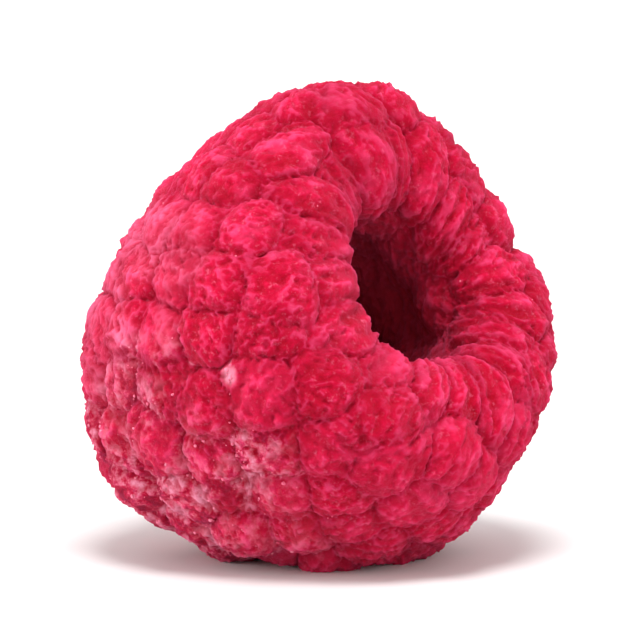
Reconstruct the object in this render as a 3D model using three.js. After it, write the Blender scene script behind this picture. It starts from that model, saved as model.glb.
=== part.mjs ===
import * as THREE from "three";

// One freeze-dried raspberry, lying on its side with the hollow left by its core facing -Y and a little up.
// Millimetres, +Z up. The origin is on the surface it lies on, under the middle of its bounding box.
// The berry is first made upright in a frame of its own, with its axis along +Z from the closed tip to the
// open rim and z = 0 at its widest row. Then it is dented, laid down and flattened where it touches the
// surface.

// The berry's form, over the tops of its drupelets.
const BERRY_RADIUS = 9.9;
const TIP_REACH = 9.2;
const RIM_REACH = 7.4;
const RIM_FULLNESS = 2.2;
const MOUTH_FULLNESS = 3.8;
const DRUPELET_HEIGHT = 1;

// The hollow, between the tops of the bumps inside it.
const HOLLOW_RADIUS = 3;
const HOLLOW_REACH = 5.4;
const BUMP_HEIGHT = 0.5;

// The drupelets. A radius is half the width of a drupelet's foot, along the berry's section and across it.
const SIDE_DRUPELETS = 165;
const SIDE_RADII = [1.8, 1.8];
const SIDE_END = 1.46;
const RIM_DRUPELETS = 18;
const RIM_MIDDLE = 1.6;
const RIM_RADII = [2.5, 1.45];
const HOLLOW_ROWS = [
  { s: 1.86, count: 9 },
  { s: 2.08, count: 9 },
  { s: 2.32, count: 8 },
  { s: 2.56, count: 6 },
  { s: 2.82, count: 4 },
];
const BUMP_RADII = [1.4, 1.35];
const GOLDEN_ANGLE = Math.PI * (3 - Math.sqrt(5));
const ROUNDNESS = 2.1;

// How uneven drying has left them. A spread is a share of the value either way, and what is deepest a share
// of the drupelet's height.
const SIZE_SPREAD = 0.14;
const SHIFT_SPREAD = 0.22;
const SINK_DEEPEST = 0.32;
const DIMPLE_DEEPEST = 0.36;
const DIMPLE_WIDTH = 0.6;
const DIMPLE_SPREAD = 0.35;
const RIM_TURN_SPREAD = 0.35;
const CREASE_ROUNDING = 0.08;

// The mouth is pinched a little taller than wide, leans over, and sits off the middle. It is wider or
// narrower at some turns round the axis, in degrees, by a share of the distance from the axis. That fades
// out down the hollow between two depths, which are values of z.
const MOUTH_PINCH = 0.08;
const MOUTH_LEAN = THREE.MathUtils.degToRad(16);
const MOUTH_SHIFT = 1;
const MOUTH_REACH = 6.5;
const MOUTH_DEPTHS = [-1, 3];
const MOUTH_LOBE_WIDTH = 0.42;
const MOUTH_LOBES = [
  { angle: 112, swell: 0.1 },
  { angle: 202, swell: 0.23 },
  { angle: 270, swell: -0.06 },
];

// Where the outline swells or falls in. angle is the clock position as the berry is seen from VIEW_TURN to
// the left of its open end, in degrees up from the right, and swell is a share of the berry's radius.
const VIEW_TURN = THREE.MathUtils.degToRad(42);
const LOBE_WIDTH = 0.34;
const LOBES = [
  { angle: 30, swell: -0.11 },
  { angle: 88, swell: 0.065 },
  { angle: 116, swell: -0.045 },
  { angle: 143, swell: -0.07 },
  { angle: 214, swell: 0.12 },
  { angle: 246, swell: -0.015 },
  { angle: 306, swell: 0.035 },
  { angle: 334, swell: -0.075 },
];

// How it lies.
const AXIS_RISE = THREE.MathUtils.degToRad(28);
const FLAT_DEPTH = 0.65;

// The mesh.
const EDGE = 0.53;
const ROW_EDGES = 0.87;
const SECTION_STEPS = 1500;
const SLOPE_REACH = 0.004;
const SEED = 4187;

const COLOUR = 0xb51f42;

// A repeatable source of numbers from 0 to 1.
function draws(seed) {
  let state = seed;
  return () => {
    state = (state * 16807) % 2147483647;
    return state / 2147483647;
  };
}

// A point or a direction at radius from the axis, turn round it and z along it.
function around(radius, turn, z) {
  return new THREE.Vector3(
    radius * Math.cos(turn),
    radius * Math.sin(turn),
    z,
  );
}

// The section of the wall under the drupelets as (distance from the axis, z), from the closed tip over the
// rim to the bottom of the hollow, for s from 0 to 3: a quarter ellipse, a half superellipse over the rim
// that is fuller on the mouth's side, and the hollow's quarter ellipse.
function section(s) {
  const outer = BERRY_RADIUS - DRUPELET_HEIGHT;
  const inner = HOLLOW_RADIUS + BUMP_HEIGHT;
  const quarter = Math.PI / 2;
  if (s < 1)
    return new THREE.Vector2(
      outer * Math.sin(s * quarter),
      -(TIP_REACH - DRUPELET_HEIGHT) * Math.cos(s * quarter),
    );
  if (s < 2) {
    const turn = (s - 1) * Math.PI;
    const fullness = s < 1.5 ? RIM_FULLNESS : MOUTH_FULLNESS;
    const rounded = (v) => Math.sign(v) * Math.abs(v) ** (2 / fullness);
    return new THREE.Vector2(
      (outer + inner) / 2 + ((outer - inner) / 2) * rounded(Math.cos(turn)),
      (RIM_REACH - DRUPELET_HEIGHT) * rounded(Math.sin(turn)),
    );
  }
  return new THREE.Vector2(
    inner * Math.cos((s - 2) * quarter),
    -(HOLLOW_REACH + BUMP_HEIGHT) * Math.sin((s - 2) * quarter),
  );
}

// Close steps along the section, each with its place, the way out of the wall there, and the length of the
// section and the area of the surface up to it.
function sectionSteps() {
  const steps = [];
  let length = 0;
  let area = 0;
  for (let i = 0; i <= SECTION_STEPS; i++) {
    const s = (3 * i) / SECTION_STEPS;
    const place = section(s);
    const before = section(Math.max(0, s - SLOPE_REACH));
    const slope = section(Math.min(3, s + SLOPE_REACH)).sub(before);
    const out = new THREE.Vector2(slope.y, -slope.x).normalize();
    if (i > 0) {
      const step = place.distanceTo(steps[i - 1].place);
      length += step;
      area += step * (place.x + steps[i - 1].place.x) * Math.PI;
    }
    steps.push({ s, place, out, length, area });
  }
  return steps;
}

// A drupelet whose foot is on the wall at one step of its section, turn round the axis, with the height of
// its top and the dimple that drying left in it.
function drupelet(step, turn, along, radii, height, random) {
  const out = around(step.out.x, turn, step.out.y);
  const across = new THREE.Vector3().crossVectors(out, along).normalize();
  const first = new THREE.Vector3().crossVectors(across, out);
  const size = 1 + SIZE_SPREAD * (2 * random() - 1);
  const shifts = radii.map((r) => r * SHIFT_SPREAD * (2 * random() - 1));
  return {
    foot: around(step.place.x, turn, step.place.y)
      .addScaledVector(first, shifts[0])
      .addScaledVector(across, shifts[1]),
    first,
    across,
    radii: radii.map((r) => r * size),
    height: height * (1 - SINK_DEEPEST * random() ** 2),
    dimple: height * DIMPLE_DEEPEST * random(),
    spot: [0, 1].map(() => DIMPLE_SPREAD * (2 * random() - 1)),
  };
}

// Drupelets on the side, spread evenly in a spiral from the tip to the shoulder.
function sideDrupelets(steps, random) {
  const axis = new THREE.Vector3(0, 0, 1);
  const whole = steps.find(({ s }) => s >= SIDE_END).area;
  return Array.from({ length: SIDE_DRUPELETS }, (_, i) => {
    const share = (i + 0.5) / SIDE_DRUPELETS;
    const step = steps.find(({ area }) => area >= share * whole);
    const turn = i * GOLDEN_ANGLE;
    return drupelet(step, turn, axis, SIDE_RADII, DRUPELET_HEIGHT, random);
  });
}

// Drupelets round the rim, longer than wide, that point at the hollow.
function rimDrupelets(steps, random) {
  const step = steps.find(({ s }) => s >= RIM_MIDDLE);
  return Array.from({ length: RIM_DRUPELETS }, (_, i) => {
    const share = (i + RIM_TURN_SPREAD * random()) / RIM_DRUPELETS;
    const turn = share * 2 * Math.PI;
    const inward = around(-1, turn, 0);
    return drupelet(step, turn, inward, RIM_RADII, DRUPELET_HEIGHT, random);
  });
}

// The drupelets' inner ends, which show as bumps on the hollow's wall.
function hollowBumps(steps, random) {
  const axis = new THREE.Vector3(0, 0, 1);
  return HOLLOW_ROWS.flatMap((row, number) => {
    const step = steps.find(({ s }) => s >= row.s);
    return Array.from({ length: row.count }, (_, i) => {
      const turn = ((i + 0.5 * (number % 2)) / row.count) * 2 * Math.PI;
      return drupelet(step, turn, axis, BUMP_RADII, BUMP_HEIGHT, random);
    });
  });
}

// How high one drupelet stands over a point of the wall, which is less than 0 beyond its foot.
function heightOf(d, point) {
  const from = point.clone().sub(d.foot);
  const across = from.dot(d.across);
  const along = Math.sqrt(Math.max(0, from.lengthSq() - across * across));
  const x = (Math.sign(from.dot(d.first)) * along) / d.radii[0];
  const y = across / d.radii[1];
  const dent = Math.hypot(x - d.spot[0], y - d.spot[1]) / DIMPLE_WIDTH;
  const cap = d.height * (1 - Math.hypot(x, y) ** ROUNDNESS);
  return cap - d.dimple * Math.exp(-dent * dent);
}

// The height of the skin over a point of the wall: the highest of the drupelets there, with rounded creases.
function skinHeight(point, drupelets) {
  let sum = 1;
  for (const d of drupelets)
    sum += Math.exp(heightOf(d, point) / CREASE_ROUNDING);
  return CREASE_ROUNDING * Math.log(sum);
}

// How much wider the mouth is round a point, as a share of the distance from the axis.
function mouthSwell(point) {
  const turn = Math.atan2(point.y, point.x);
  let sum = 0;
  for (const { angle, swell } of MOUTH_LOBES) {
    const away = Math.cos(turn - THREE.MathUtils.degToRad(angle)) - 1;
    sum += swell * Math.exp(away / MOUTH_LOBE_WIDTH ** 2);
  }
  return sum * THREE.MathUtils.smoothstep(point.z, ...MOUTH_DEPTHS);
}

// Pinches, shifts and widens the mouth, dents the outline, and lays the berry down.
function layDown(point) {
  const near = Math.exp(-((Math.hypot(point.x, point.y) / MOUTH_REACH) ** 4));
  const axis = new THREE.Vector3(0, 0, 1);
  const p = point.clone().applyAxisAngle(axis, -MOUTH_LEAN);
  p.x *= 1 - MOUTH_PINCH * near;
  p.y *= 1 + MOUTH_PINCH * near;
  p.applyAxisAngle(axis, MOUTH_LEAN);
  p.x += (MOUTH_SHIFT + point.x * mouthSwell(point)) * near;
  p.y += point.y * mouthSwell(point) * near;
  p.applyAxisAngle(new THREE.Vector3(1, 0, 0), Math.PI / 2 - AXIS_RISE);
  const right = new THREE.Vector3(Math.cos(VIEW_TURN), -Math.sin(VIEW_TURN), 0);
  const way = p.clone().normalize();
  let scale = 1;
  for (const { angle, swell } of LOBES) {
    const turn = THREE.MathUtils.degToRad(angle);
    const lobe = right.clone().multiplyScalar(Math.cos(turn));
    lobe.z = Math.sin(turn);
    scale += swell * Math.exp((way.dot(lobe) - 1) / LOBE_WIDTH ** 2);
  }
  return p.multiplyScalar(scale);
}

// The wall's surface as rings of points about EDGE apart, from the tip to the bottom of the hollow, each
// point pushed out to the drupelets' skin.
function skinRings(steps, drupelets) {
  const whole = steps.at(-1).length;
  const rows = Math.round(whole / (EDGE * ROW_EDGES));
  return Array.from({ length: rows + 1 }, (_, row) => {
    const step = steps.find(({ length }) => length >= (whole * row) / rows);
    const pole = row === 0 || row === rows;
    const girth = 2 * Math.PI * step.place.x;
    const count = pole ? 1 : Math.max(6, Math.round(girth / EDGE));
    return Array.from({ length: count }, (_, i) => {
      const turn = (2 * Math.PI * i) / count;
      const point = around(pole ? 0 : step.place.x, turn, step.place.y);
      const way = around(pole ? 0 : step.out.x, turn, step.out.y).normalize();
      return point.addScaledVector(way, skinHeight(point, drupelets));
    });
  });
}

// Triangles between two rings of different counts, given the number of the first point of each.
function stitch(a, countA, b, countB) {
  const faces = [];
  let i = 0;
  let j = 0;
  while (i < countA || j < countB) {
    const stepA = countA > 1 && (j >= countB || (i + 1) / countA <= (j + 1) / countB);
    if ((stepA && i < countA) || countB === 1) {
      faces.push(a + (i % countA), a + ((i + 1) % countA), b + (j % countB));
      i++;
      if (countB === 1 && i >= countA) break;
    } else {
      faces.push(a + (i % countA), b + ((j + 1) % countB), b + (j % countB));
      j++;
      if (countA === 1 && j >= countB) break;
    }
  }
  return faces;
}

// The berry as one closed body, resting on z = 0 with its bounding box centred on the Z axis.
function berryGeometry() {
  const random = draws(SEED);
  const steps = sectionSteps();
  const drupelets = [
    ...sideDrupelets(steps, random),
    ...rimDrupelets(steps, random),
    ...hollowBumps(steps, random),
  ];
  const rings = skinRings(steps, drupelets);
  const points = rings.flat().map(layDown);
  const faces = [];
  let first = 0;
  for (let i = 0; i + 1 < rings.length; i++) {
    const next = first + rings[i].length;
    faces.push(...stitch(first, rings[i].length, next, rings[i + 1].length));
    first = next;
  }
  const box = new THREE.Box3().setFromPoints(points);
  const middle = box.getCenter(new THREE.Vector3());
  const positions = points.flatMap((p) => [
    p.x - middle.x,
    p.y - middle.y,
    Math.max(0, p.z - box.min.z - FLAT_DEPTH),
  ]);
  return new THREE.BufferGeometry()
    .setAttribute("position", new THREE.Float32BufferAttribute(positions, 3))
    .setIndex(faces);
}

const berry = new THREE.Mesh(
  berryGeometry(),
  new THREE.MeshStandardMaterial({
    color: COLOUR,
    roughness: 0.9,
    metalness: 0,
  }),
);
berry.name = "raspberry";

const part = new THREE.Group();
part.add(berry);

export default part;
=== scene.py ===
from math import cos, pi, radians, sin, sqrt

import bmesh
import bpy
import numpy as np
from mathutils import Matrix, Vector, noise


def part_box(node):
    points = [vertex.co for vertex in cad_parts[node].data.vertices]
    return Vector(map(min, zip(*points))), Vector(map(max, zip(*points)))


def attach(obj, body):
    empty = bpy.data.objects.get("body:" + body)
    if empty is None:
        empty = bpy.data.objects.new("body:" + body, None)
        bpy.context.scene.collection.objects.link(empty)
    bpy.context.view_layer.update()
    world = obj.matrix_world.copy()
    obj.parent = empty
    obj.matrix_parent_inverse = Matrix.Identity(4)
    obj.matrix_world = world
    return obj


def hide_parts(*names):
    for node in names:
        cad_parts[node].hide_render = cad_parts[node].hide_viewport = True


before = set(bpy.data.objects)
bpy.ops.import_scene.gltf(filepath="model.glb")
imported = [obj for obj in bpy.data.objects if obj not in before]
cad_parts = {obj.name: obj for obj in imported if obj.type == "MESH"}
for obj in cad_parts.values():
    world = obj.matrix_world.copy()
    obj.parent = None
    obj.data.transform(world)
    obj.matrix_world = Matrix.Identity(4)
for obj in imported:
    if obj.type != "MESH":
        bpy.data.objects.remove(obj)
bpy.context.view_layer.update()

MM = 0.001

# The berry's form in millimetres, over the tops of its drupelets, as its solid has it. It is made upright,
# with its axis along +Z from the closed tip to the open rim and z = 0 at its widest row, and is then dented,
# laid down and flattened where it touches the floor.
BERRY_RADIUS = 9.9
TIP_REACH = 9.2
RIM_REACH = 7.4
RIM_FULLNESS = 2.2
MOUTH_FULLNESS = 3.8
DRUPELET_HEIGHT = 1

# The hollow, between the tops of the bumps inside it.
HOLLOW_RADIUS = 3
HOLLOW_REACH = 5.4
BUMP_HEIGHT = 0.5

# The drupelets, and the bumps inside the hollow in rows of (s, count). A radius is half the width of a foot,
# along the berry's section and across it.
SIDE_DRUPELETS = 165
SIDE_RADII = (1.8, 1.8)
SIDE_END = 1.46
RIM_DRUPELETS = 18
RIM_MIDDLE = 1.6
RIM_RADII = (2.5, 1.45)
HOLLOW_ROWS = ((1.86, 9), (2.08, 9), (2.32, 8), (2.56, 6), (2.82, 4))
BUMP_RADII = (1.4, 1.35)
GOLDEN_ANGLE = pi * (3 - sqrt(5))
ROUNDNESS = 2.1

# How uneven drying has left them. A spread is a share of the value either way, and what is deepest a share of
# the drupelet's height.
SIZE_SPREAD = 0.14
SHIFT_SPREAD = 0.22
SINK_DEEPEST = 0.32
DIMPLE_DEEPEST = 0.36
DIMPLE_WIDTH = 0.6
DIMPLE_SPREAD = 0.35
RIM_TURN_SPREAD = 0.35

# The mouth is pinched, leans over and sits off the middle. Its lobes are (turn round the axis in degrees,
# swell), and fade out down the hollow between two values of z.
MOUTH_PINCH = 0.08
MOUTH_LEAN = radians(16)
MOUTH_SHIFT = 1
MOUTH_REACH = 6.5
MOUTH_DEPTHS = (-1, 3)
MOUTH_LOBE_WIDTH = 0.42
MOUTH_LOBES = ((112, 0.1), (202, 0.23), (270, -0.06))

# Where the outline swells or falls in, as seen from VIEW_TURN to the left of the open end: (degrees up from
# the right, swell).
VIEW_TURN = radians(42)
LOBE_WIDTH = 0.34
LOBES = (
    (30, -0.11), (88, 0.065), (116, -0.045), (143, -0.07),
    (214, 0.12), (246, -0.015), (306, 0.035), (334, -0.075),
)
AXIS_RISE = radians(28)

# The mesh's steps, and the same repeatable chance that the solid has.
EDGE = 0.119
ROW_EDGES = 0.87
LEAST_IN_RING = 6
SECTION_STEPS = 1500
SLOPE_REACH = 0.004
TINY = 1e-6
SEED = 4187
CHANCE_STEP = 16807
CHANCE_LIMIT = 2**31 - 1

# What the skin has beyond the solid, in millimetres: finer creases, drupelets that bulge over them and are
# less round, and wrinkles and grain from drying. A drupelet is looked for up to FOOT_REACH radii away.
CREASE_ROUNDING = 0.09
CREASE_FLOOR = -0.22
FOOT_REACH = 1.4
WOBBLE = 0.25
WOBBLE_SIZE = 1.7
WOBBLE_APART = 31.7
BULGE = 0.1
SEAM = 0.3
WRINKLE_HEIGHT = 0.13
WRINKLE_LEAST = 0.2
WRINKLE_LONG = 1.6
WRINKLE_SHORT = 0.4
WRINKLE_APART = 5.3
PLEAT_HEIGHT = 0.17
DENT_HEIGHT = 0.08
DENT_SIZE = 0.95
CRUMPLE_HEIGHT = 0.09
CRUMPLE_MOST = 1.3
CRUMPLE_LOSS = 0.7
CRUMPLE_SIZE = 0.33
CRUMPLE_BEND = 0.16
CRUMPLE_APART = 17.3
GRAIN_HEIGHT = 0.07
GRAIN_SIZE = 0.19
RIDGE_STEEPNESS = 2.6

# Where painted shade darkens the creases and the hollow, by how far a point is above the next drupelet, its
# height over the wall, and its s.
CREASE_ABOVE = 0.9
CREASE_TOP = 0.6
HOLLOW_EDGE = (1.72, 2.02)

# Where the pale bloom, with a painted rim highlight on the side the edge lamp lights, and the frost lie, as
# directions from the berry's middle, where their edges fade, and how ragged they are.
BLOOM_AND_HIGHLIGHT_SIDE = np.array([-0.89, 0.38, 0.25])
BLOOM_AND_HIGHLIGHT_EDGE = (0.83, 1.05)
BLOOM_AND_HIGHLIGHT_RAGGED = 0.18
RAGGED_SIZE = 3.2
FROST_SIDE = np.array([-0.80, 0.03, -0.60])
FROST_EDGE = (0.87, 1.13)
FROST_RAGGED = 0.12
FROST_CHANCE = 0.18

# One pale speck: its direction from the berry's middle, how far it reaches, and the share of that which is
# fully pale.
SPECK_SIDE = np.array([-0.895, -0.436, -0.095])
SPECK_REACH = 0.62
SPECK_CORE = 0.3
SPECK_RAGGED = 0.3

# Loose crumbs of dried berry on the skin, and a few larger ones at the speck, by how far across they are.
# CRUMBS_OUTSIDE is how likely one is outside the frost, where inside it is 1.
CRUMBS = 220
CRUMB_WIDTHS = (0.06, 0.2)
CRUMB_LUMPS = (0.75, 1.25)
CRUMB_SQUASH = (0.6, 1.2)
CRUMBS_OUTSIDE = 0.01
SPECKS = 5
SPECK_WIDTHS = (0.12, 0.32)

# Colours in linear light, from the flesh's folds up to what lies on it.
# Painted shade in the folds of the relief and painted highlight on its crests, with the flesh's own red
# between.
FOLD_SHADE_RED = (0.39, 0.001, 0.013)
FLESH_RED = (0.61, 0.001, 0.038)
RIDGE_HIGHLIGHT_PINK = (0.88, 0.060, 0.190)
FUZZ_RED = (0.34, 0.001, 0.014)
FUZZ_PINK = (0.76, 0.035, 0.125)
DUST_PINK = (0.88, 0.170, 0.300)
TINT_RED = (0.38, 0.002, 0.022)
TINT_PINK = (0.68, 0.015, 0.075)
PATCH_RED = (0.38, 0.001, 0.016)
PATCH_PINK = (0.79, 0.045, 0.150)
# Pale bloom and painted rim highlight, on the side the edge lamp lights.
BLOOM_AND_HIGHLIGHT_PINK = (0.90, 0.165, 0.310)
# Painted shade in the creases.
CREASE_SHADE_RED = (0.25, 0.001, 0.014)
PIT_RED = (0.18, 0.002, 0.018)
FROST_PALE = (0.85, 0.31, 0.44)
SPECK_PALE = (0.85, 0.30, 0.42)
# Painted shade in the hollow.
HOLLOW_SHADE_RED = (0.30, 0.014, 0.032)
CRUMB_PINK = (0.78, 0.10, 0.20)
CRUMB_PALE = (0.84, 0.25, 0.37)
SHEEN_TINT = (1, 0.22, 0.46, 1)
FLOOR_GREY = (0.72, 0.72, 0.72)
FLOOR_WHITE = (0.75, 0.75, 0.75)

# The photograph's view: how far it looks down, and in metres how far off it is and how wide the frame is
# where the berry lies. The sensor's width is in millimetres.
VIEW_RISE = radians(8)
VIEW_DISTANCE = 0.4
FRAME_WIDTH = 0.0262
SENSOR_WIDTH = 36

# The floor's width in metres, the light from all round, and lamps that are wide and far off: the side each
# one shines from, how wide it is in degrees, and its power.
FLOOR_WIDTH = 40
SKY_COLOUR = (1, 0.99, 0.985, 1)
SKY_POWER = 0.97
LAMPS = {
    "key": ((-0.25, -0.28, 1.0), 20, 2.5),
    "fill": ((0.5, -1.0, 0.5), 33, 0.5),
    "edge": ((-0.7, 0.65, 0.18), 30, 1.65),
}


def draws(seed):
    """A repeatable source of numbers from 0 to 1, the same as the solid's."""
    state = seed
    while True:
        state = state * CHANCE_STEP % CHANCE_LIMIT
        yield state / CHANCE_LIMIT


def around(radius, turn, z):
    """A point or a direction at radius from the axis, turn round it and z along it."""
    return np.array([radius * cos(turn), radius * sin(turn), z])


def smooth(low, high, values):
    """0 beyond low, 1 beyond high, and a smooth change between them."""
    t = np.clip((values - low) / (high - low), 0, 1)
    return t * t * (3 - 2 * t)


def field(points, size, octaves=1):
    """Smooth noise from about -1 to 1 at each point, with lumps about size wide."""
    scaled = (points / size).tolist()
    if octaves == 1:
        return np.array([noise.noise(Vector(p)) for p in scaled])
    return np.array([noise.fractal(Vector(p), 1.0, 2.0, octaves) for p in scaled])


def fields(points, size, apart):
    """Three fields of noise, one for each direction, that are unlike because they are taken apart."""
    return np.stack([field(points + apart * k, size) for k in (1, 2, 3)], axis=1)


def ridges(points, size):
    """Noise up to 1 with sharp crests, whose lumps are about size wide, or a size for each direction."""
    return 1 - RIDGE_STEEPNESS * np.abs(field(points, size))


def rank(values):
    """The share of the values that each is above."""
    return np.argsort(np.argsort(values)) / len(values)


def section(s):
    """The wall under the drupelets as (distance from the axis, z), for s from 0 to 3.

    It runs from the closed tip to the widest row at 1, over the rim to the hollow's mouth at 2, and down to
    the bottom of the hollow.
    """
    outer = BERRY_RADIUS - DRUPELET_HEIGHT
    inner = HOLLOW_RADIUS + BUMP_HEIGHT
    quarter = pi / 2
    if s < 1:
        return outer * sin(s * quarter), -(TIP_REACH - DRUPELET_HEIGHT) * cos(s * quarter)
    if s < 2:
        turn = (s - 1) * pi
        fullness = RIM_FULLNESS if s < 1.5 else MOUTH_FULLNESS
        x = np.sign(cos(turn)) * abs(cos(turn)) ** (2 / fullness)
        z = np.sign(sin(turn)) * abs(sin(turn)) ** (2 / fullness)
        middle, half = (outer + inner) / 2, (outer - inner) / 2
        return middle + half * x, (RIM_REACH - DRUPELET_HEIGHT) * z
    return inner * cos((s - 2) * quarter), -(HOLLOW_REACH + BUMP_HEIGHT) * sin((s - 2) * quarter)


def section_steps():
    """Close steps along the section: s, place, way out, and the length and area up to each."""
    s = 3 * np.arange(SECTION_STEPS + 1) / SECTION_STEPS
    place = np.array([section(v) for v in s])
    before = np.array([section(max(0, v - SLOPE_REACH)) for v in s])
    after = np.array([section(min(3, v + SLOPE_REACH)) for v in s])
    slope = after - before
    out = np.stack([slope[:, 1], -slope[:, 0]], axis=1)
    out /= np.linalg.norm(out, axis=1)[:, None]
    length = np.linalg.norm(np.diff(place, axis=0), axis=1)
    area = length * (place[1:, 0] + place[:-1, 0]) * pi
    return {
        "s": s,
        "place": place,
        "out": out,
        "length": np.concatenate([[0], np.cumsum(length)]),
        "area": np.concatenate([[0], np.cumsum(area)]),
    }


def drupelet(steps, index, turn, along, radii, height, random):
    """A drupelet whose foot is on the wall at one step of its section, turn round the axis."""
    place, out = steps["place"][index], steps["out"][index]
    out = around(out[0], turn, out[1])
    across = np.cross(out, along)
    across /= np.linalg.norm(across)
    first = np.cross(across, out)
    size = 1 + SIZE_SPREAD * (2 * next(random) - 1)
    shifts = [r * SHIFT_SPREAD * (2 * next(random) - 1) for r in radii]
    return {
        "foot": around(place[0], turn, place[1]) + first * shifts[0] + across * shifts[1],
        "first": first,
        "across": across,
        "radii": [r * size for r in radii],
        "height": height * (1 - SINK_DEEPEST * next(random) ** 2),
        "dimple": height * DIMPLE_DEEPEST * next(random),
        "spot": [DIMPLE_SPREAD * (2 * next(random) - 1) for _ in range(2)],
    }


def all_drupelets(steps):
    """The drupelets on the side, round the rim, and their inner ends in the hollow."""
    random = draws(SEED)
    axis = np.array([0, 0, 1.0])
    found = []
    whole = steps["area"][np.searchsorted(steps["s"], SIDE_END)]
    for i in range(SIDE_DRUPELETS):
        share = (i + 0.5) / SIDE_DRUPELETS
        index = np.searchsorted(steps["area"], share * whole)
        turn = i * GOLDEN_ANGLE
        found.append(drupelet(steps, index, turn, axis, SIDE_RADII, DRUPELET_HEIGHT, random))
    index = np.searchsorted(steps["s"], RIM_MIDDLE)
    for i in range(RIM_DRUPELETS):
        turn = (i + RIM_TURN_SPREAD * next(random)) / RIM_DRUPELETS * 2 * pi
        inward = around(-1, turn, 0)
        found.append(drupelet(steps, index, turn, inward, RIM_RADII, DRUPELET_HEIGHT, random))
    for number, (s, count) in enumerate(HOLLOW_ROWS):
        index = np.searchsorted(steps["s"], s)
        for i in range(count):
            turn = (i + 0.5 * (number % 2)) / count * 2 * pi
            found.append(drupelet(steps, index, turn, axis, BUMP_RADII, BUMP_HEIGHT, random))
    return found


def wall_rings(steps):
    """Points EDGE apart on the wall in rings.

    Gives the points, the way out and the section's s at each, and each ring's count of points.
    """
    whole = steps["length"][-1]
    rows = round(whole / (EDGE * ROW_EDGES))
    reached = whole * np.arange(rows + 1) / rows
    columns = (*steps["place"].T, *steps["out"].T, steps["s"])
    radius, z, way, rise, s = (np.interp(reached, steps["length"], column) for column in columns)
    points, ways, along, counts = [], [], [], []
    for row in range(rows + 1):
        out = np.array([way[row], rise[row]]) / np.hypot(way[row], rise[row])
        count = max(LEAST_IN_RING, round(2 * pi * radius[row] / EDGE))
        if row in (0, rows):
            radius[row], out, count = 0, (0, np.sign(out[1])), 1
        turn = 2 * pi * np.arange(count) / count
        ring = np.stack([np.cos(turn), np.sin(turn), np.ones(count)], axis=1)
        points.append(ring * (radius[row], radius[row], z[row]))
        ways.append(ring * (out[0], out[0], out[1]))
        along.append(np.full(count, s[row]))
        counts.append(count)
    return np.concatenate(points), np.concatenate(ways), np.concatenate(along), counts


def stitch(a, count_a, b, count_b):
    """Triangles between two rings of different counts, given the number of the first point of each."""
    faces = []
    i = j = 0
    while i < count_a or j < count_b:
        step_a = j >= count_b or (i < count_a and (i + 1) / count_a <= (j + 1) / count_b)
        if step_a:
            if count_a > 1:
                faces.append((a + i % count_a, a + (i + 1) % count_a, b + j % count_b))
            i += 1
        else:
            if count_b > 1:
                faces.append((a + i % count_a, b + (j + 1) % count_b, b + j % count_b))
            j += 1
    return faces


def dress(points, drupelets):
    """What covers each point of the wall.

    Gives the skin's height there, how far it is above the next drupelet, the number of its own drupelet, and
    its place on that one.
    """
    warped = points + WOBBLE * fields(points, WOBBLE_SIZE, WOBBLE_APART)
    total = np.full(len(points), np.exp(CREASE_FLOOR / CREASE_ROUNDING))
    best = np.full(len(points), CREASE_FLOOR)
    second = best.copy()
    owner = np.zeros(len(points), int)
    local = np.zeros((len(points), 2))
    for number, d in enumerate(drupelets):
        reach = FOOT_REACH * max(d["radii"])
        near = np.flatnonzero(((warped - d["foot"]) ** 2).sum(axis=1) < reach * reach)
        offset = warped[near] - d["foot"]
        across = offset @ d["across"]
        along = np.sqrt(np.maximum(0, (offset * offset).sum(axis=1) - across * across))
        x = np.sign(offset @ d["first"]) * along / d["radii"][0]
        y = across / d["radii"][1]
        dent = np.hypot(x - d["spot"][0], y - d["spot"][1]) / DIMPLE_WIDTH
        height = d["height"] * (1 - np.hypot(x, y) ** ROUNDNESS) - d["dimple"] * np.exp(-dent * dent)
        total[near] += np.exp(height / CREASE_ROUNDING)
        higher = height > best[near]
        second[near] = np.where(higher, best[near], np.maximum(second[near], height))
        best[near] = np.maximum(best[near], height)
        won = near[higher]
        owner[won] = number
        local[won] = np.stack([x[higher], y[higher]], axis=1)
    radii = np.array([d["radii"] for d in drupelets])
    return {
        "height": CREASE_ROUNDING * np.log(total),
        "above": best - second,
        "owner": owner,
        "place": local * radii[owner],
    }


def bulges(skin, seam, drupelets):
    """How each point moves sideways, so that its drupelet bulges over the creases round it.

    It moves most half way up the drupelet.
    """
    owner, place = skin["owner"], skin["place"]
    first, across = (np.array([d[key] for d in drupelets])[owner] for key in ("first", "across"))
    tops = np.array([d["height"] for d in drupelets])
    sideways = place[:, :1] * first + place[:, 1:] * across
    sideways /= np.linalg.norm(sideways, axis=1)[:, None] + TINY
    up = np.clip(skin["height"] / tops[owner], 0, 1)
    bulge = seam * BULGE * 4 * up * (1 - up)
    return sideways * bulge[:, None]


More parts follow.
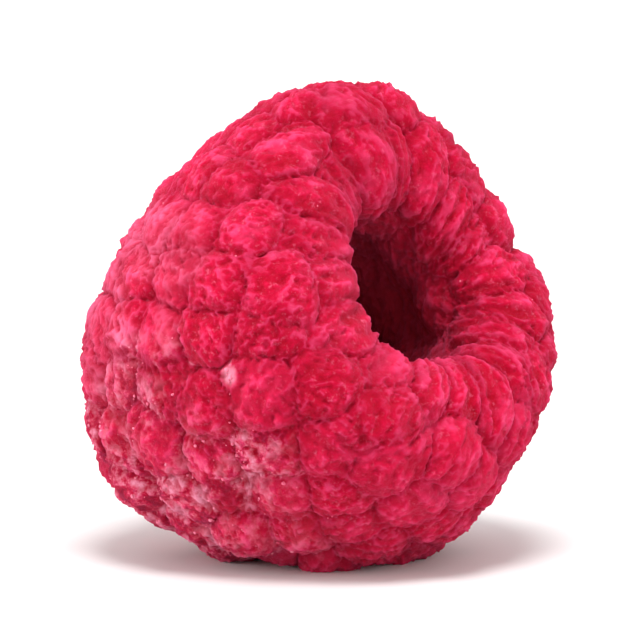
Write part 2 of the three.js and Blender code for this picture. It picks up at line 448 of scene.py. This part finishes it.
def reliefs(points, skin, seam, chance):
    """The relief that drying left: how far it lifts each point, its rank there, and its crumples alone.

    Wrinkles run one way on each drupelet, towards the hollow on the rim's, and fade out at its creases.
    Crumples, dents and grain run any way.
    """
    owner, place = skin["owner"], skin["place"]
    rim = (owner >= SIDE_DRUPELETS) & (owner < SIDE_DRUPELETS + RIM_DRUPELETS)
    turn = np.where(rim, 0, chance[owner, 0] * pi)
    u = place[:, 0] * np.cos(turn) + place[:, 1] * np.sin(turn)
    v = place[:, 1] * np.cos(turn) - place[:, 0] * np.sin(turn)
    bend = CRUMPLE_BEND * fields(points, CRUMPLE_SIZE, CRUMPLE_APART)
    bent = points + bend
    folds = np.stack([u + bend[:, 0], v + bend[:, 1], WRINKLE_APART * owner], axis=1)
    wrinkle = ridges(folds, (WRINKLE_LONG, WRINKLE_SHORT, 1))
    crumple = ridges(bent, CRUMPLE_SIZE)
    grain = ridges(bent, GRAIN_SIZE)
    share = WRINKLE_LEAST + (1 - WRINKLE_LEAST) * chance[owner, 1]
    wrinkled = seam * np.where(rim, PLEAT_HEIGHT, WRINKLE_HEIGHT * share)
    crumpled = CRUMPLE_HEIGHT * (CRUMPLE_MOST - CRUMPLE_LOSS * wrinkled / PLEAT_HEIGHT)
    relief = wrinkled * wrinkle + crumpled * crumple + GRAIN_HEIGHT * grain
    return {
        "lift": relief + DENT_HEIGHT * ridges(bent, DENT_SIZE),
        "rank": rank(relief / (wrinkled + crumpled + GRAIN_HEIGHT)),
        "crumple": crumple,
    }


def lay_down(points):
    """Pinches, shifts and widens the mouth, dents the outline, and lays the berry down, as for the solid."""
    def spin(p, turn):
        x = p[:, 0] * cos(turn) - p[:, 1] * sin(turn)
        y = p[:, 0] * sin(turn) + p[:, 1] * cos(turn)
        return np.stack([x, y, p[:, 2]], axis=1)

    near = np.exp(-((np.hypot(points[:, 0], points[:, 1]) / MOUTH_REACH) ** 4))
    p = spin(points, -MOUTH_LEAN)
    p[:, 0] *= 1 - MOUTH_PINCH * near
    p[:, 1] *= 1 + MOUTH_PINCH * near
    p = spin(p, MOUTH_LEAN)
    p[:, 0] += MOUTH_SHIFT * near
    turn = np.arctan2(points[:, 1], points[:, 0])
    swells = np.zeros(len(p))
    for angle, swell in MOUTH_LOBES:
        swells += swell * np.exp((np.cos(turn - radians(angle)) - 1) / MOUTH_LOBE_WIDTH**2)
    p[:, :2] += points[:, :2] * (swells * near * smooth(*MOUTH_DEPTHS, points[:, 2]))[:, None]
    tilt = pi / 2 - AXIS_RISE
    y = p[:, 1] * cos(tilt) - p[:, 2] * sin(tilt)
    z = p[:, 1] * sin(tilt) + p[:, 2] * cos(tilt)
    p = np.stack([p[:, 0], y, z], axis=1)
    way = p / np.linalg.norm(p, axis=1)[:, None]
    scale = np.ones(len(p))
    for angle, swell in LOBES:
        turn = radians(angle)
        lobe = np.array([cos(VIEW_TURN) * cos(turn), -sin(VIEW_TURN) * cos(turn), sin(turn)])
        scale += swell * np.exp((way @ lobe - 1) / LOBE_WIDTH**2)
    return p * scale[:, None]


def paint(form, middle, along, skin, relief, chance):
    """What the flesh's material reads at each point, from 0 to 1, apart from the tint's -1 to 1."""
    owner = skin["owner"]
    from_middle = form - middle
    reach = np.linalg.norm(from_middle, axis=1)
    uneven = field(form, RAGGED_SIZE, octaves=2)
    # The pale bloom and painted rim highlight face the edge lamp's side.
    bloom_and_highlight = from_middle @ BLOOM_AND_HIGHLIGHT_SIDE / reach + BLOOM_AND_HIGHLIGHT_RAGGED * uneven
    frost = from_middle @ FROST_SIDE / reach + FROST_RAGGED * uneven + FROST_CHANCE * chance[owner, 2]
    facing = np.where(along < SIDE_END, from_middle @ SPECK_SIDE / reach, 0)
    from_speck = np.linalg.norm(form - form[np.argmax(facing)], axis=1)
    from_speck *= 1 + SPECK_RAGGED * relief["crumple"]
    return {
        # Low where painted shade darkens the deepest creases.
        "crease_shade": smooth(0, CREASE_ABOVE, skin["above"]) * smooth(CREASE_FLOOR, CREASE_TOP, skin["height"]),
        "tint": 2 * chance[owner, 3] - 1,
        "bloom_and_highlight": smooth(*BLOOM_AND_HIGHLIGHT_EDGE, bloom_and_highlight),
        "frost": smooth(*FROST_EDGE, frost),
        "speck": smooth(SPECK_REACH, SPECK_CORE * SPECK_REACH, from_speck),
        # Rises into the hollow, where painted shade darkens the flesh.
        "hollow": smooth(*HOLLOW_EDGE, along),
        "ridge": relief["rank"],
    }


def berry_mesh():
    """The berry's skin as a mesh in metres, with what its material reads as attributes."""
    steps = section_steps()
    drupelets = all_drupelets(steps)
    chance = np.random.default_rng(SEED).random((len(drupelets), 4))
    points, ways, along, counts = wall_rings(steps)
    skin = dress(points, drupelets)
    seam = smooth(0, SEAM, skin["above"])
    relief = reliefs(points, skin, seam, chance)

    # The skin goes where the solid is, which is the form without its relief.
    plain = lay_down(points + ways * skin["height"][:, None])
    low, high = (np.array(corner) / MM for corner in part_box("raspberry"))
    shift = (low + high) / 2 - (plain.min(axis=0) + plain.max(axis=0)) / 2
    shift[2] = high[2] - plain[:, 2].max()
    lifted = points + ways * (skin["height"] + relief["lift"])[:, None]
    form = lay_down(lifted + bulges(skin, seam, drupelets)) + shift
    form[:, 2] = np.maximum(0, form[:, 2])

    faces, first = [], 0
    for a, b in zip(counts, counts[1:]):
        faces += stitch(first, a, first + a, b)
        first += a
    mesh = bpy.data.meshes.new("raspberry_skin")
    mesh.from_pydata((form * MM).tolist(), [], faces)
    mesh.shade_smooth()

    for name, numbers in paint(form, (low + high) / 2, along, skin, relief, chance).items():
        mesh.attributes.new(name, "FLOAT", "POINT").data.foreach_set("value", numbers.astype(np.float32))
    return mesh


class Nodes:
    """Adds nodes to a material and joins them."""

    def __init__(self, material):
        material.use_nodes = True
        self.tree = material.node_tree
        self.shader = self.tree.nodes["Principled BSDF"]
        self.place = self.add("ShaderNodeTexCoord").outputs["Object"]

    def add(self, kind, **settings):
        node = self.tree.nodes.new(kind)
        for name, value in settings.items():
            setattr(node, name, value)
        return node

    def join(self, source, target):
        self.tree.links.new(source, target)

    def attribute(self, name):
        return self.add("ShaderNodeAttribute", attribute_name=name).outputs["Fac"]

    def noise(self, per_mm, detail=3, roughness=0.6):
        """Noise with about per_mm lumps to the millimetre."""
        node = self.add("ShaderNodeTexNoise")
        self.join(self.place, node.inputs["Vector"])
        node.inputs["Scale"].default_value = per_mm / MM
        node.inputs["Detail"].default_value = detail
        node.inputs["Roughness"].default_value = roughness
        return node.outputs["Fac"]

    def spread(self, value, low, high, to_low=0, to_high=1):
        """to_low where the value is low, to_high where it is high, and even between them."""
        node = self.add("ShaderNodeMapRange")
        self.join(value, node.inputs["Value"])
        for name, number in zip(("From Min", "From Max", "To Min", "To Max"), (low, high, to_low, to_high)):
            node.inputs[name].default_value = number
        return node.outputs["Result"]

    def times(self, a, b):
        node = self.add("ShaderNodeMath", operation="MULTIPLY")
        self.join(a, node.inputs[0])
        if isinstance(b, (int, float)):
            node.inputs[1].default_value = b
        else:
            self.join(b, node.inputs[1])
        return node.outputs[0]

    def mix(self, share, a, b):
        """Colour a with a share of colour b over it."""
        node = self.add("ShaderNodeMix", data_type="RGBA")
        self.join(share, node.inputs["Factor"])
        for socket, colour in ((node.inputs["A"], a), (node.inputs["B"], b)):
            if isinstance(colour, tuple):
                socket.default_value = (*colour, 1)
            else:
                self.join(colour, socket)
        return node.outputs["Result"]


def flesh_colour(nodes):
    """The flesh's colour in layers, each over a range of what the skin or a noise has at the point. It has
    painted shade in the folds, creases and hollow, and painted highlight on the crests and on the side the
    edge lamp lights.
    """
    crease_shade = nodes.attribute("crease_shade")
    ridge = nodes.attribute("ridge")
    # Painted shade in the folds and painted highlight on the crests, by the rank of the relief, in place of
    # its shading.
    colour = nodes.mix(nodes.spread(ridge, 0, 0.6), FOLD_SHADE_RED, FLESH_RED)
    colour = nodes.mix(nodes.spread(ridge, 0.62, 1), colour, RIDGE_HIGHLIGHT_PINK)

    # Fuzz, and fine pale dust.
    fuzz = nodes.noise(6, 4, 0.7)
    colour = nodes.mix(nodes.spread(fuzz, 0.5, 0.3, 0, 0.3), colour, FUZZ_RED)
    colour = nodes.mix(nodes.spread(fuzz, 0.5, 0.7, 0, 0.3), colour, FUZZ_PINK)
    dust = nodes.spread(nodes.noise(4, 5, 0.7), 0.56, 0.7, 0, 0.5)
    colour = nodes.mix(dust, colour, DUST_PINK)

    # Drupelets that are darker or paler than the next, and wider patches.
    tint = nodes.attribute("tint")
    colour = nodes.mix(nodes.spread(tint, -0.1, -1, 0, 0.35), colour, TINT_RED)
    colour = nodes.mix(nodes.spread(tint, 0.2, 1, 0, 0.35), colour, TINT_PINK)
    patches = nodes.noise(0.65, 4)
    colour = nodes.mix(nodes.spread(patches, 0.48, 0.68, 0, 0.6), colour, PATCH_RED)
    colour = nodes.mix(nodes.spread(patches, 0.46, 0.3, 0, 0.4), colour, PATCH_PINK)

    # The pale bloom with a painted rim highlight on the edge lamp's side, mostly on the ridges, and painted
    # shade in the creases.
    bloom_and_highlight = nodes.times(nodes.attribute("bloom_and_highlight"), nodes.spread(ridge, 0.2, 0.9, 0.1, 0.75))
    colour = nodes.mix(bloom_and_highlight, colour, BLOOM_AND_HIGHLIGHT_PINK)
    colour = nodes.mix(nodes.spread(crease_shade, 1, 0, 0, 0.4), colour, CREASE_SHADE_RED)

    # The frosted side, in pale flakes and dark pits.
    powder = nodes.noise(0.95, 5, 0.66)
    pits = nodes.times(nodes.attribute("frost"), nodes.spread(powder, 0.5, 0.38, 0, 0.8))
    colour = nodes.mix(pits, colour, PIT_RED)
    frost = nodes.times(nodes.attribute("frost"), nodes.spread(powder, 0.47, 0.6))
    frost = nodes.times(frost, nodes.spread(ridge, 0.05, 0.8, 0.25, 0.9))
    colour = nodes.mix(frost, colour, FROST_PALE)

    # The pale speck, and painted shade in the hollow.
    speck = nodes.times(nodes.attribute("speck"), 0.85)
    colour = nodes.mix(speck, colour, SPECK_PALE)
    hollow = nodes.spread(nodes.attribute("hollow"), 0, 1, 0, 0.75)
    return nodes.mix(hollow, colour, HOLLOW_SHADE_RED)


def flesh_material():
    """Dry, velvety flesh: crimson pink, with painted shade in the creases and a pale bloom with a painted rim
    highlight.
    """
    material = bpy.data.materials.new("raspberry_flesh")
    nodes = Nodes(material)
    shader = nodes.shader
    nodes.join(flesh_colour(nodes), shader.inputs["Base Color"])
    nodes.join(nodes.spread(nodes.noise(3, 3), 0.3, 0.7, 0.72, 0.95), shader.inputs["Roughness"])
    shader.inputs["Specular IOR Level"].default_value = 0.08
    shader.inputs["Subsurface Weight"].default_value = 0.06
    shader.inputs["Subsurface Radius"].default_value = (1, 0.2, 0.2)
    shader.inputs["Subsurface Scale"].default_value = 0.4 * MM
    shader.inputs["Sheen Weight"].default_value = 0.3
    shader.inputs["Sheen Roughness"].default_value = 0.4
    shader.inputs["Sheen Tint"].default_value = SHEEN_TINT
    bump = nodes.add("ShaderNodeBump")
    bump.inputs["Strength"].default_value = 0.9
    bump.inputs["Distance"].default_value = 0.09 * MM
    nodes.join(nodes.noise(7, 6, 0.75), bump.inputs["Height"])
    nodes.join(bump.outputs["Normal"], shader.inputs["Normal"])
    return material


def add_berry():
    """The berry's skin, which stands for the solid."""
    berry = bpy.data.objects.new("raspberry_skin", berry_mesh())
    bpy.context.collection.objects.link(berry)
    berry.data.materials.append(flesh_material())
    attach(berry, "root")
    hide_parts("raspberry")
    return berry


def crumb_material():
    """Paler than the flesh, as its broken edges are."""
    material = bpy.data.materials.new("raspberry_crumb")
    nodes = Nodes(material)
    shade = nodes.spread(nodes.noise(1.5, 2), 0.35, 0.65)
    nodes.join(nodes.mix(shade, CRUMB_PINK, CRUMB_PALE), nodes.shader.inputs["Base Color"])
    nodes.shader.inputs["Roughness"].default_value = 0.9
    nodes.shader.inputs["Specular IOR Level"].default_value = 0.1
    return material


def values_of(mesh, name):
    """What the attribute of that name holds at each of the mesh's points."""
    numbers = np.empty(len(mesh.vertices))
    mesh.attributes[name].data.foreach_get("value", numbers)
    return numbers


def ball():
    """The points of a small ball 1 across, and its faces by their numbers."""
    made = bmesh.new()
    bmesh.ops.create_icosphere(made, subdivisions=1, radius=0.5)
    points = np.array([v.co for v in made.verts])
    faces = np.array([[v.index for v in face.verts] for face in made.faces])
    made.free()
    return points, faces


def add_crumbs(berry):
    """Loose crumbs half sunk in the skin, most of them where it is frosted, and some at the speck."""
    random = np.random.default_rng(SEED)
    places = np.array([v.co for v in berry.data.vertices]) / MM
    likely = (CRUMBS_OUTSIDE + values_of(berry.data, "frost")) * (places[:, 2] > CRUMB_WIDTHS[1])
    likely *= 1 - values_of(berry.data, "hollow")
    spots = random.choice(len(places), CRUMBS, replace=False, p=likely / likely.sum())
    likely = values_of(berry.data, "speck")
    specks = random.choice(len(places), SPECKS, replace=False, p=likely / likely.sum())
    form, sides = ball()
    points, faces = [], []
    for chosen, (least, most) in ((spots, CRUMB_WIDTHS), (specks, SPECK_WIDTHS)):
        for place in places[chosen]:
            lumpy = form * random.uniform(*CRUMB_LUMPS, (len(form), 1)) * random.uniform(*CRUMB_SQUASH, 3)
            faces.append(sides + len(form) * len(points))
            points.append(place + lumpy * (least + (most - least) * random.random() ** 2))
    mesh = bpy.data.meshes.new("raspberry_crumbs")
    mesh.from_pydata((np.concatenate(points) * MM).tolist(), [], np.concatenate(faces).tolist())
    crumbs = bpy.data.objects.new("raspberry_crumbs", mesh)
    bpy.context.collection.objects.link(crumbs)
    mesh.materials.append(crumb_material())
    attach(crumbs, "root")


def aim(thing, target):
    """Turns a lamp or a camera towards a point."""
    thing.rotation_euler = (Vector(target) - thing.location).to_track_quat("-Z", "Y").to_euler()


def add_floor():
    """A wide white surface for the berry to lie on."""
    bpy.ops.mesh.primitive_plane_add(size=FLOOR_WIDTH)
    floor = bpy.context.object
    floor.name = "floor"
    material = bpy.data.materials.new("floor_white")
    nodes = Nodes(material)
    shade = nodes.spread(nodes.noise(0.02, 2), 0.3, 0.7)
    nodes.join(nodes.mix(shade, FLOOR_GREY, FLOOR_WHITE), nodes.shader.inputs["Base Color"])
    nodes.shader.inputs["Roughness"].default_value = 0.7
    nodes.shader.inputs["Specular IOR Level"].default_value = 0.2
    floor.data.materials.append(material)


def add_light():
    """Soft light from all round, and wide lamps far off, so that the floor is lit evenly."""
    world = bpy.data.worlds.new("studio")
    bpy.context.scene.world = world
    world.use_nodes = True
    background = world.node_tree.nodes["Background"]
    background.inputs["Color"].default_value = SKY_COLOUR
    background.inputs["Strength"].default_value = SKY_POWER
    for name, (side, width, power) in LAMPS.items():
        light = bpy.data.lights.new(name, "SUN")
        light.angle = radians(width)
        light.energy = power
        lamp = bpy.data.objects.new(name, light)
        lamp.location = side
        bpy.context.collection.objects.link(lamp)
        aim(lamp, (0, 0, 0))


def add_camera(middle):
    """A long lens at the photograph's angle, level enough to see into the hollow."""
    camera = bpy.data.cameras.new("camera")
    camera.sensor_width = SENSOR_WIDTH
    camera.lens = SENSOR_WIDTH * VIEW_DISTANCE / FRAME_WIDTH
    seen = bpy.data.objects.new("camera", camera)
    back = Vector((-sin(VIEW_TURN) * cos(VIEW_RISE), -cos(VIEW_TURN) * cos(VIEW_RISE), sin(VIEW_RISE)))
    seen.location = Vector(middle) + VIEW_DISTANCE * back
    bpy.context.collection.objects.link(seen)
    aim(seen, middle)
    bpy.context.scene.camera = seen


low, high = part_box("raspberry")
middle = tuple((a + b) / 2 for a, b in zip(low, high))
add_camera(middle)
add_crumbs(add_berry())
add_floor()
add_light()
bpy.context.scene.view_settings.view_transform = "Standard"
